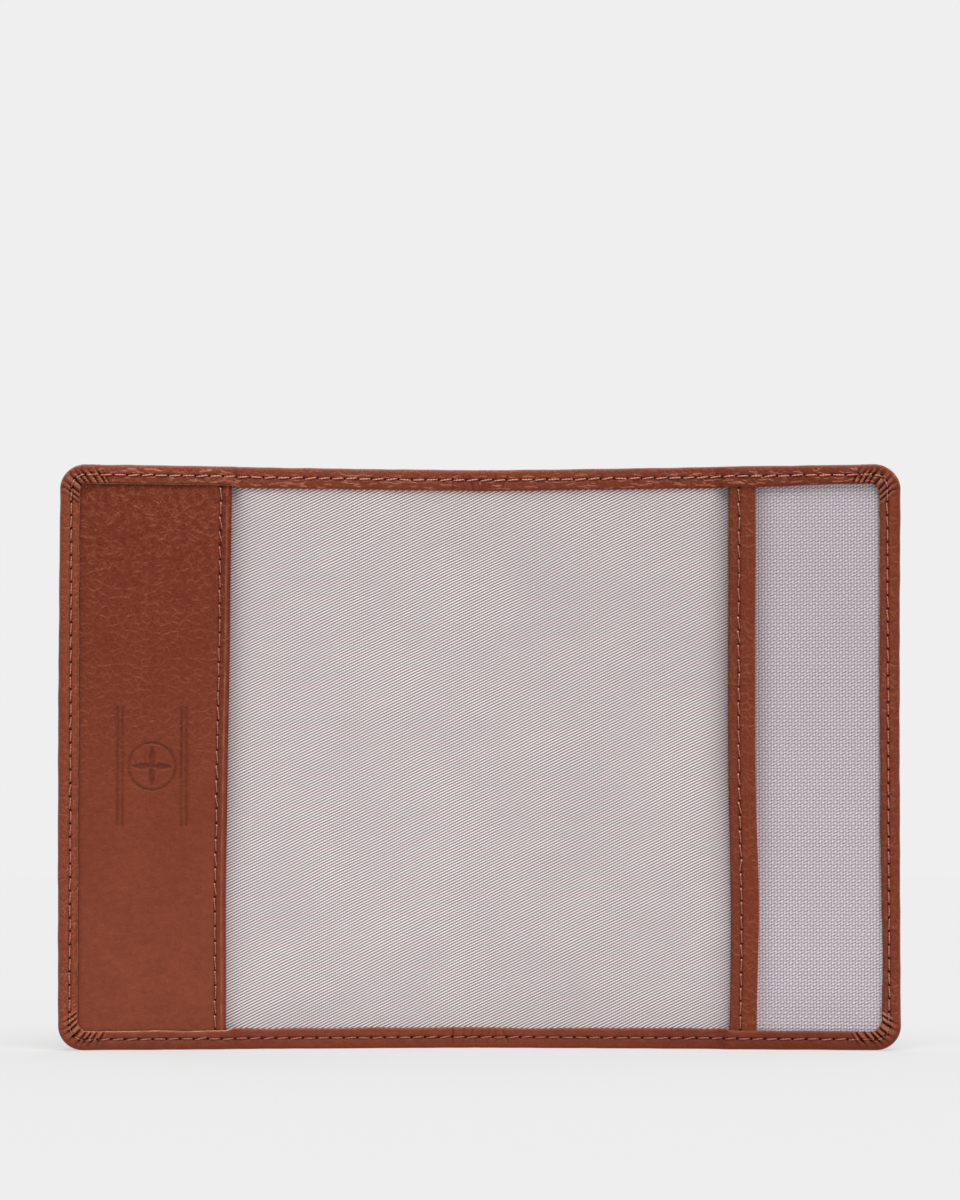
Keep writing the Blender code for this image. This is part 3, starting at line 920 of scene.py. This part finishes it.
def make_board(side):
    b, _ = layer(side, BOARD_SPAN, (30, 24))
    b.make("inner_board", BOARD, "board", ["stiffener_board"], bends=True)


for leaf_side in (FRONT, BACK):
    make_lining(leaf_side)
    make_board(leaf_side)


# -------- pockets
EMBLEM_U = EDGE_U - 22
EMBLEM_Z = 0.483 * TOP_Z
RING_R = 5.6
RULES_OUT = (8.2, 7.0)  # how far the rules stand from the ring's centre
RULE_HALF = 14.5
EDGE_STEPS = 14  # round a folded edge
PRESSED = 0.22


def star_emblem(u, z):
    """A plain four-pointed star in a ring, between two pairs of upright rules: the pressing, 0 to 1."""
    a, c = u - EMBLEM_U, z - EMBLEM_Z
    radius = np.hypot(a, c)
    quarter = np.abs((np.arctan2(c, a) / (math.pi / 2) + 0.5) % 1 - 0.5) * 2
    ring = dip(radius - RING_R, 0.26)
    points = 4.3 * (1 - quarter) ** 1.7 + 0.7
    star = ease((points - radius) / 0.35)
    rules = dip(np.abs(a) - RULES_OUT[0], 0.34) + dip(np.abs(a) - RULES_OUT[1], 0.24)
    rules *= ease((RULE_HALF - np.abs(c)) / 0.4)
    return np.maximum(np.maximum(ring, star), rules)


def folded_mouth(mouth_at, span, pitch, reach):
    """The start of a sheet with a folded edge: heights, where the mouth is, the count of stitches,
    and rings of (u, t) round the fold, tighter underneath."""
    (_, low_t, low_z), (_, high_t, high_z) = span
    z = np.linspace(low_z, high_z, int(round((high_z - low_z) / pitch * 14)) + 1)[:, None]
    mouth = mouth_at(z)
    bend = np.radians(np.linspace(-90, 90, EDGE_STEPS))
    middle = low_t + 0.45 * (high_t - low_t)
    half = np.where(bend < 0, middle - low_t, high_t - middle)
    width = np.where(bend < 0, 0.4 * reach, reach)
    edge_u, edge_t = mouth + width * (1 - np.cos(bend)), middle + half * np.sin(bend)
    return z, mouth, (z - low_z) / pitch, edge_u, edge_t + 0 * mouth


def seam_dip(from_seam, stitch):
    """How far the leather is pulled down along a seam and at its needle holes."""
    return dip(from_seam, 0.36) * (0.13 + 0.14 * at_hole(stitch, 0.12))


def beside_hem(u, z):
    """Distance inwards from the hem's cut edge, on the pocket."""
    away_u = EDGE_U - HEM_SIDE - 0.25 - u
    away_z = np.minimum(TOP_Z - HEM_POCKET - z, z - HEM_POCKET + HEM_BOTTOM_LESS)
    short_u, short_z = (np.maximum(HEM_CORNER_R - away, 0) for away in (away_u, away_z))
    beyond = np.maximum(np.minimum(away_u, away_z), HEM_CORNER_R)
    return np.maximum(beyond - np.hypot(short_u, short_z), 0)


def make_leather_pocket():
    (_, low_t, low_z), (_, high_t, high_z) = POCKET_SPAN
    z, mouth, stitch, edge_u, edge_t = folded_mouth(pocket_mouth, POCKET_SPAN, POCKET_PITCH, POCKET_ROLL)
    end = outline_reach(z, POCKET_SPAN)
    near = mouth + POCKET_ROLL + np.linspace(0, 2.6, 27)[1:]
    far = near[:, -1:] + (end - near[:, -1:]) * np.linspace(0, 1, 121)[1:]
    face_u = np.hstack([near, far])
    face_end = EDGE_STEPS + face_u.shape[1]

    from_mouth = face_u - mouth
    pull = seam_dip(from_mouth - MOUTH_SEAM, stitch)
    ridge = 0.07 * dip(from_mouth - 1.05, 0.30) - 0.08 * dip(from_mouth - 1.65, 0.30)
    hem_edge = 0.10 * ease((from_mouth - MOUTH_SEAM - 6) / 2)
    swell = waves(81, 26, face_u, z) * 0.10 + waves(82, 6, face_u, z) * 0.04
    inside = np.minimum(z - low_z - 3.4, high_z - 3.4 - z)
    fade = ease(inside / 8) * ease((end - face_u - 3.0) / 8)
    pressed = star_emblem(face_u, z)
    face_t = high_t - pull + ridge - hem_edge + (swell + 0.10) * fade - PRESSED * pressed

    under_u = mouth + POCKET_ROLL + (end - mouth - POCKET_ROLL) * np.linspace(1, 0, 17)[:-1]
    turned_in = ease((mouth + TURN_IN - under_u) / 1.2)
    under_t = high_t - HEM_LEATHER - (high_t - low_t - HEM_LEATHER) * turned_in
    u = np.hstack([edge_u, face_u, under_u])
    t = np.hstack([edge_t, face_t, under_t])
    from_edge = u - mouth
    across = np.minimum(from_edge - MOUTH_SEAM, 5.0)
    across[:, face_end:] = 5.0
    # Painted light round the folded mouth: highlight on the fold's ridge, shade in the valley inside it and
    # where the edge turns away, and a painted shadow on the pocket beside the hem's cut edge.
    patchy = 1 + 0.6 * waves(83, 5, z)
    crease = 0.28 * (dip(from_edge - 1.95, 0.5) - patchy * dip(from_edge - 1.15, 0.22))
    crease += 0.22 * ease((0.75 - from_edge) / 0.2) + 0.6 * np.exp(-beside_hem(u, z) / 0.42)
    # The pressed emblem is painted in shade.
    crease[:, EDGE_STEPS:face_end] += 0.45 * pressed
    crease[:, face_end:] = 0.0
    flat = pair(-(mouth - 1 + unrolled(u, t)), z)
    b = Build(FRONT)
    b.loft(b.add(u, z, t, flat, pair(stitch, across), crease))
    b.make("leather_pocket_sheet", POCKET_LEATHER, "leather", ["leather_pocket"])


def make_pocket_backing():
    b, flat = layer(FRONT, BACKING_SPAN, (24, 80), BACKING_SPAN[0][0] + 0.8)
    piece = b.make("pocket_backing_cloth", TWILL, "lining", ["pocket_backing"])


def make_binding():
    """A leather strip folded round the woven pocket's mouth: a channel with a rounded nose."""
    low_t, high_t = BINDING_SPAN[0][1], BINDING_SPAN[1][1]
    z, mouth, stitch, edge_u, edge_t = folded_mouth(binding_mouth, BINDING_SPAN, BINDING_PITCH, BINDING_ROLL)
    end = binding_end(z)
    reach = end - mouth - BINDING_ROLL
    face_u = mouth + BINDING_ROLL + reach * np.linspace(0, 1, 47)[1:]
    pull = seam_dip(face_u - mouth - MOUTH_SEAM, stitch)
    edge_round = 0.12 * ease((face_u - end + 0.4) / 0.4) ** 2
    puff = 0.10 * arch((face_u - mouth - BINDING_ROLL) / reach)
    lumps = waves(91, 5, face_u, z) * 0.05
    face_t = high_t + puff + lumps - pull - edge_round

    leg = 0.35
    cut_u = end + np.array([0.09, 0.18, 0.22])
    cut_t = high_t + np.array([-0.18, -0.27, -0.36]) + 0 * z
    slot_u = np.hstack([mouth + 0.9, mouth + 0.9, end])
    slot_t = np.array([high_t - leg, low_t + 0.8 * leg, low_t + 0.8 * leg]) + 0 * z
    under_u = mouth + BINDING_ROLL + reach * np.linspace(1, 0, 6)[:-1]
    u = np.hstack([edge_u, face_u, cut_u, slot_u, under_u])
    t = np.hstack([edge_t, face_t, cut_t, slot_t, low_t + 0 * under_u])
    cut_start = EDGE_STEPS + face_u.shape[1]
    across = u - mouth - MOUTH_SEAM
    across[:, cut_start:] = 5.0
    across[:, cut_start : cut_start + cut_u.shape[1]] = 7.3
    # Painted shade along the binding's seam.
    crease = 0.14 * dip(u - mouth - MOUTH_SEAM, 0.6)
    crease[:, cut_start:] = 0.0
    flat = pair(mouth + unrolled(u, t), z)
    b = Build(BACK)
    b.loft(b.add(u, z, t, flat, pair(stitch, across), crease))
    b.make("pocket_binding_strip", BINDING_LEATHER, "leather", ["pocket_binding"])


def make_woven_pocket():
    (low_u, _, low_z), (high_u, _, high_z) = WOVEN_SPAN

    def rise_at(u, z):
        inside = np.minimum(z - low_z, high_z - z) - 3.4
        fade = ease(inside / 9) * ease((high_u - u - 3) / 9) * ease((u - low_u - 6.5) / 4)
        return fade * (0.25 + 0.18 * waves(95, 40, u, z))

    def shaded_at(u, z):
        # Painted shadow beside the binding's far edge.
        return nook(u - binding_end(z), z, 2.6)

    b, flat = layer(BACK, WOVEN_SPAN, (60, 150), low_u + 0.5, rise_at, shaded_at)
    piece = b.make("woven_pocket_cloth", WEAVE, "woven", ["woven_pocket"])


make_leather_pocket()
make_pocket_backing()
make_binding()
make_woven_pocket()


# -------- stitching
TUBE_SIDES = 8
STITCH_SAMPLES = 14
HOLE_SHARE = 0.15  # of a stitch's length, each end, that goes down into the hole
HOLE_DEPTH = 0.55


def stitch_path(base, across, stitch, sign, lift, tilt, seed):
    """Lays a thread along a seam of flat points (u, z, t): up over the leather, and down into a hole
    at each stitch end. across is the direction (u, z) square to the seam."""
    share = stitch % 1
    number = np.floor(stitch).astype(int)
    draw = np.random.default_rng(seed)
    most = number.max() + 2
    lean = tilt * (1 + 0.8 * draw.standard_normal(most))[number]
    aside = (0.05 * draw.standard_normal(most))[number]
    height = lift * np.clip(1 + 0.3 * draw.standard_normal(most), 0.2, 2)[number]
    up = ease(np.minimum(share, 1 - share) / HOLE_SHARE)
    middle = arch(share) ** 0.5
    rise = -HOLE_DEPTH * (1 - up) + (height * (0.55 + 0.45 * middle)) * up
    shift = (lean * (0.5 - share) * 2 + aside * middle) * up
    path = [base[0] + across[0] * shift, base[1] + across[1] * shift, base[2] + sign * rise]
    return np.stack(path, axis=-1)


def thread_tube(b, path, radius, thread_shade):
    """A tube along a flat path, with closed ends. Its radius varies, point by point."""
    along = np.gradient(path, axis=0)
    along /= np.linalg.norm(along, axis=1, keepdims=True)
    across = np.cross(along, (0.0, 0.0, 1.0))
    size = np.linalg.norm(across, axis=1, keepdims=True)
    across /= np.maximum(size, 1e-9)
    for i in range(1, len(across)):
        if size[i, 0] < 0.05:
            across[i] = across[i - 1]
    inward = np.cross(across, along)
    angle = np.linspace(0, 2 * math.pi, TUBE_SIDES, endpoint=False)[:, None]
    ring = np.cos(angle) * across[:, None, :] + np.sin(angle) * inward[:, None, :]
    places = path[:, None, :] + radius[:, None, None] * ring
    run = np.concatenate([[0], np.cumsum(np.linalg.norm(np.diff(path, axis=0), axis=1))])
    flat = pair(run[:, None], angle[:, 0] / (2 * math.pi))
    # Painted shade along the thread, point by point.
    numbers = b.add(*np.moveaxis(places, -1, 0), flat, crease=thread_shade[:, None])
    b.loft(numbers[:, ::-1])


def rim_thread(side, inside):
    """The stitching round one leaf, on the inside (needle thread) or the outside (bobbin thread)."""
    total = RIM.stitch[-1, 0]
    stitch = np.linspace(0, total, int(round(total)) * STITCH_SAMPLES + 1)
    base_u, base_z = (RIM.sample(stitch, column) for column in RIM.at(STITCH_INSET))
    out_u, out_z = RIM.sample(stitch, RIM.out_u), RIM.sample(stitch, RIM.out_z)
    if inside:
        surface, _ = hem_surface(side, STITCH_INSET * ONES, hem_width(side))
        base_t = RIM.sample(stitch, surface)
        sign, name, lift = 1, "needle", 0.14 + 0.09 * out_z
        # Painted shade on the thread: most along the bottom, none along the top, where it faces the overhead
        # light.
        thread_shade = np.clip(0.35 - 0.4 * out_z, 0, 0.6)
    else:
        base_t = 0.10
        sign, name, lift = -1, "bobbin", 0.05
        # The outer thread is painted in shade all along.
        thread_shade = 0.3
    sideways = RIM.sample(stitch, np.abs(RIM.out_u))
    tilt = (0.13 * side * (1 - sideways) + 0.08 * sideways) * sign
    base = (base_u, base_z, base_t)
    path = stitch_path(base, (out_u, out_z), stitch, sign, lift, tilt, 200 + side + 5 * inside)
    # Each stitch is fullest in its middle and thins towards its holes, where it is painted in shade.
    full = arch(stitch % 1) ** 0.6
    b = Build(side)
    thread_tube(b, path, THREAD_R * (0.55 + 0.45 * full), np.clip(thread_shade + 0.35 * (1 - full), 0, 1))
    in_leaf = ["perimeter_" + name + "_thread"]
    in_spine = [name + "_thread_" + end for end in ("top", "bottom")]
    b.make(name + "_stitching", THREAD, "thread", in_leaf, in_spine, bends=True)


def mouth_thread(side, name, mouth, pitch, span, sunk):
    """The stitching down a pocket's mouth, sunk a little into the face of the leather."""
    (_, _, low_z), (_, face_t, high_z) = span
    first = math.ceil((HEM_POCKET - low_z - 1.2) / pitch)
    last = math.floor((high_z - HEM_POCKET + 1.2 - low_z) / pitch)
    stitch = np.linspace(first, last, (last - first) * STITCH_SAMPLES + 1)
    z = low_z + stitch * pitch
    base = (mouth(z) + MOUTH_SEAM, z, face_t - sunk)
    path = stitch_path(base, (1.0, 0.0), stitch, 1, 0.13, side * 0.17, 300 + side)
    # Each stitch is thickest where it comes out of its upper hole, and catches the light there; away from
    # there it is painted in shade.
    knuckle = dip(stitch % 1 - 0.84, 0.07)
    b = Build(side)
    thread_tube(b, path, THREAD_R * (0.78 + 0.60 * knuckle), 0.45 * (1 - knuckle))
    b.make(name + "_stitching", THREAD, "thread", [name + "_seam_thread"])


for leaf_side in (FRONT, BACK):
    rim_thread(leaf_side, True)
    rim_thread(leaf_side, False)
mouth_thread(FRONT, "pocket", pocket_mouth, POCKET_PITCH, POCKET_SPAN, 0.15)
mouth_thread(BACK, "binding", binding_mouth, BINDING_PITCH, BINDING_SPAN, 0.06)


# -------- stage, lights, camera
PAPER = colour(126, 126, 126)
WHITE = (1.0, 1.0, 1.0, 1.0)
PAPER_GLOW = 0.508
FLOOR_LIFT = 0.006
FLOOR_REACH = 60.0
BACKGROUND_LIGHT = 0.863
ROOM_LIGHT = 0.14
KEY_LIGHT = 3.4
FILL_LIGHT = 0.8
RIM_LIGHT = 0.6
LENS_MM = 109.65
SHIFT = 0.12
PITCH = math.radians(1.95)
CAMERA_X = 0.15 * MM
CAMERA_TO_TIPS = 870 * MM
CAMERA_HEIGHT = 43.283 * MM


def make_stage():
    """A pale paper floor that glows: its emission stands in for light, keeps the cover's shadow on it faint
    and lights the cover from below. Far off it brightens a little, up to the background's own tone.
    """
    n = Nodes(bpy.data.materials.new("paper"))
    place_on_floor = n.node("TexCoord", "Object", {})
    distance = n.node("VectorMath", "Value", {0: place_on_floor}, operation="LENGTH")
    glow = distance.spread(0.1, 2.0, PAPER_GLOW, PAPER_GLOW + FLOOR_LIFT)
    looks = {"Base Color": PAPER, "Roughness": 0.9, "Specular IOR Level": 0.0}
    mesh = bpy.data.meshes.new("paper")
    corners = ((-1, -1), (1, -1), (1, 1), (-1, 1))
    points = [(x * FLOOR_REACH, y * FLOOR_REACH, 0.0) for x, y in corners]
    mesh.from_pydata(points, [], [(0, 1, 2, 3)])
    mesh.materials.append(n.finish({**looks, "Emission Color": WHITE, "Emission Strength": glow}))
    add_object("paper", mesh)


def far_softbox(name, towards, strength, width_deg):
    """Even, soft light from one side: towards points from the cover to the light."""
    data = bpy.data.lights.new(name, "SUN")
    data.energy = strength
    data.angle = math.radians(width_deg)
    turn = Vector(towards).to_track_quat("Z", "Y").to_euler()
    add_object(name, data).rotation_euler = turn


def make_lights():
    """The cover stands in front of a bright backdrop, with a darker room on the near side."""
    n = Nodes(bpy.data.worlds.new("studio"), "Background")
    _, away = n.parts(n.node("TexCoord", "Generated", {}))
    seen = n.node("LightPath", "Is Camera Ray", {})
    room = away.spread(-0.3, 0.5, ROOM_LIGHT, BACKGROUND_LIGHT)
    strength = n.node("Mix", "Result", {"Factor": seen, "A": room, "B": BACKGROUND_LIGHT})
    bpy.context.scene.world = n.finish({"Color": WHITE, "Strength": strength})
    far_softbox("overhead_softbox", (0.05, -0.45, 0.88), KEY_LIGHT, 40)
    far_softbox("front_softbox", (0.25, -1.0, 0.15), FILL_LIGHT, 60)
    far_softbox("back_softbox", (0.10, 0.50, 0.85), RIM_LIGHT, 60)
    bpy.context.scene.view_settings.view_transform = "Standard"


def make_camera():
    """Almost level, a little above the floor, looking slightly up."""
    data = bpy.data.cameras.new("camera")
    data.lens, data.shift_y = LENS_MM, SHIFT
    data.clip_start, data.clip_end = 0.05, 20.0
    camera = add_object("camera", data)
    camera.location = (CAMERA_X, CAD_BOX[0].y - CAMERA_TO_TIPS, CAMERA_HEIGHT)
    camera.rotation_euler = (math.radians(90) + PITCH, 0.0, 0.0)
    bpy.context.scene.camera = camera


make_stage()
make_lights()
make_camera()
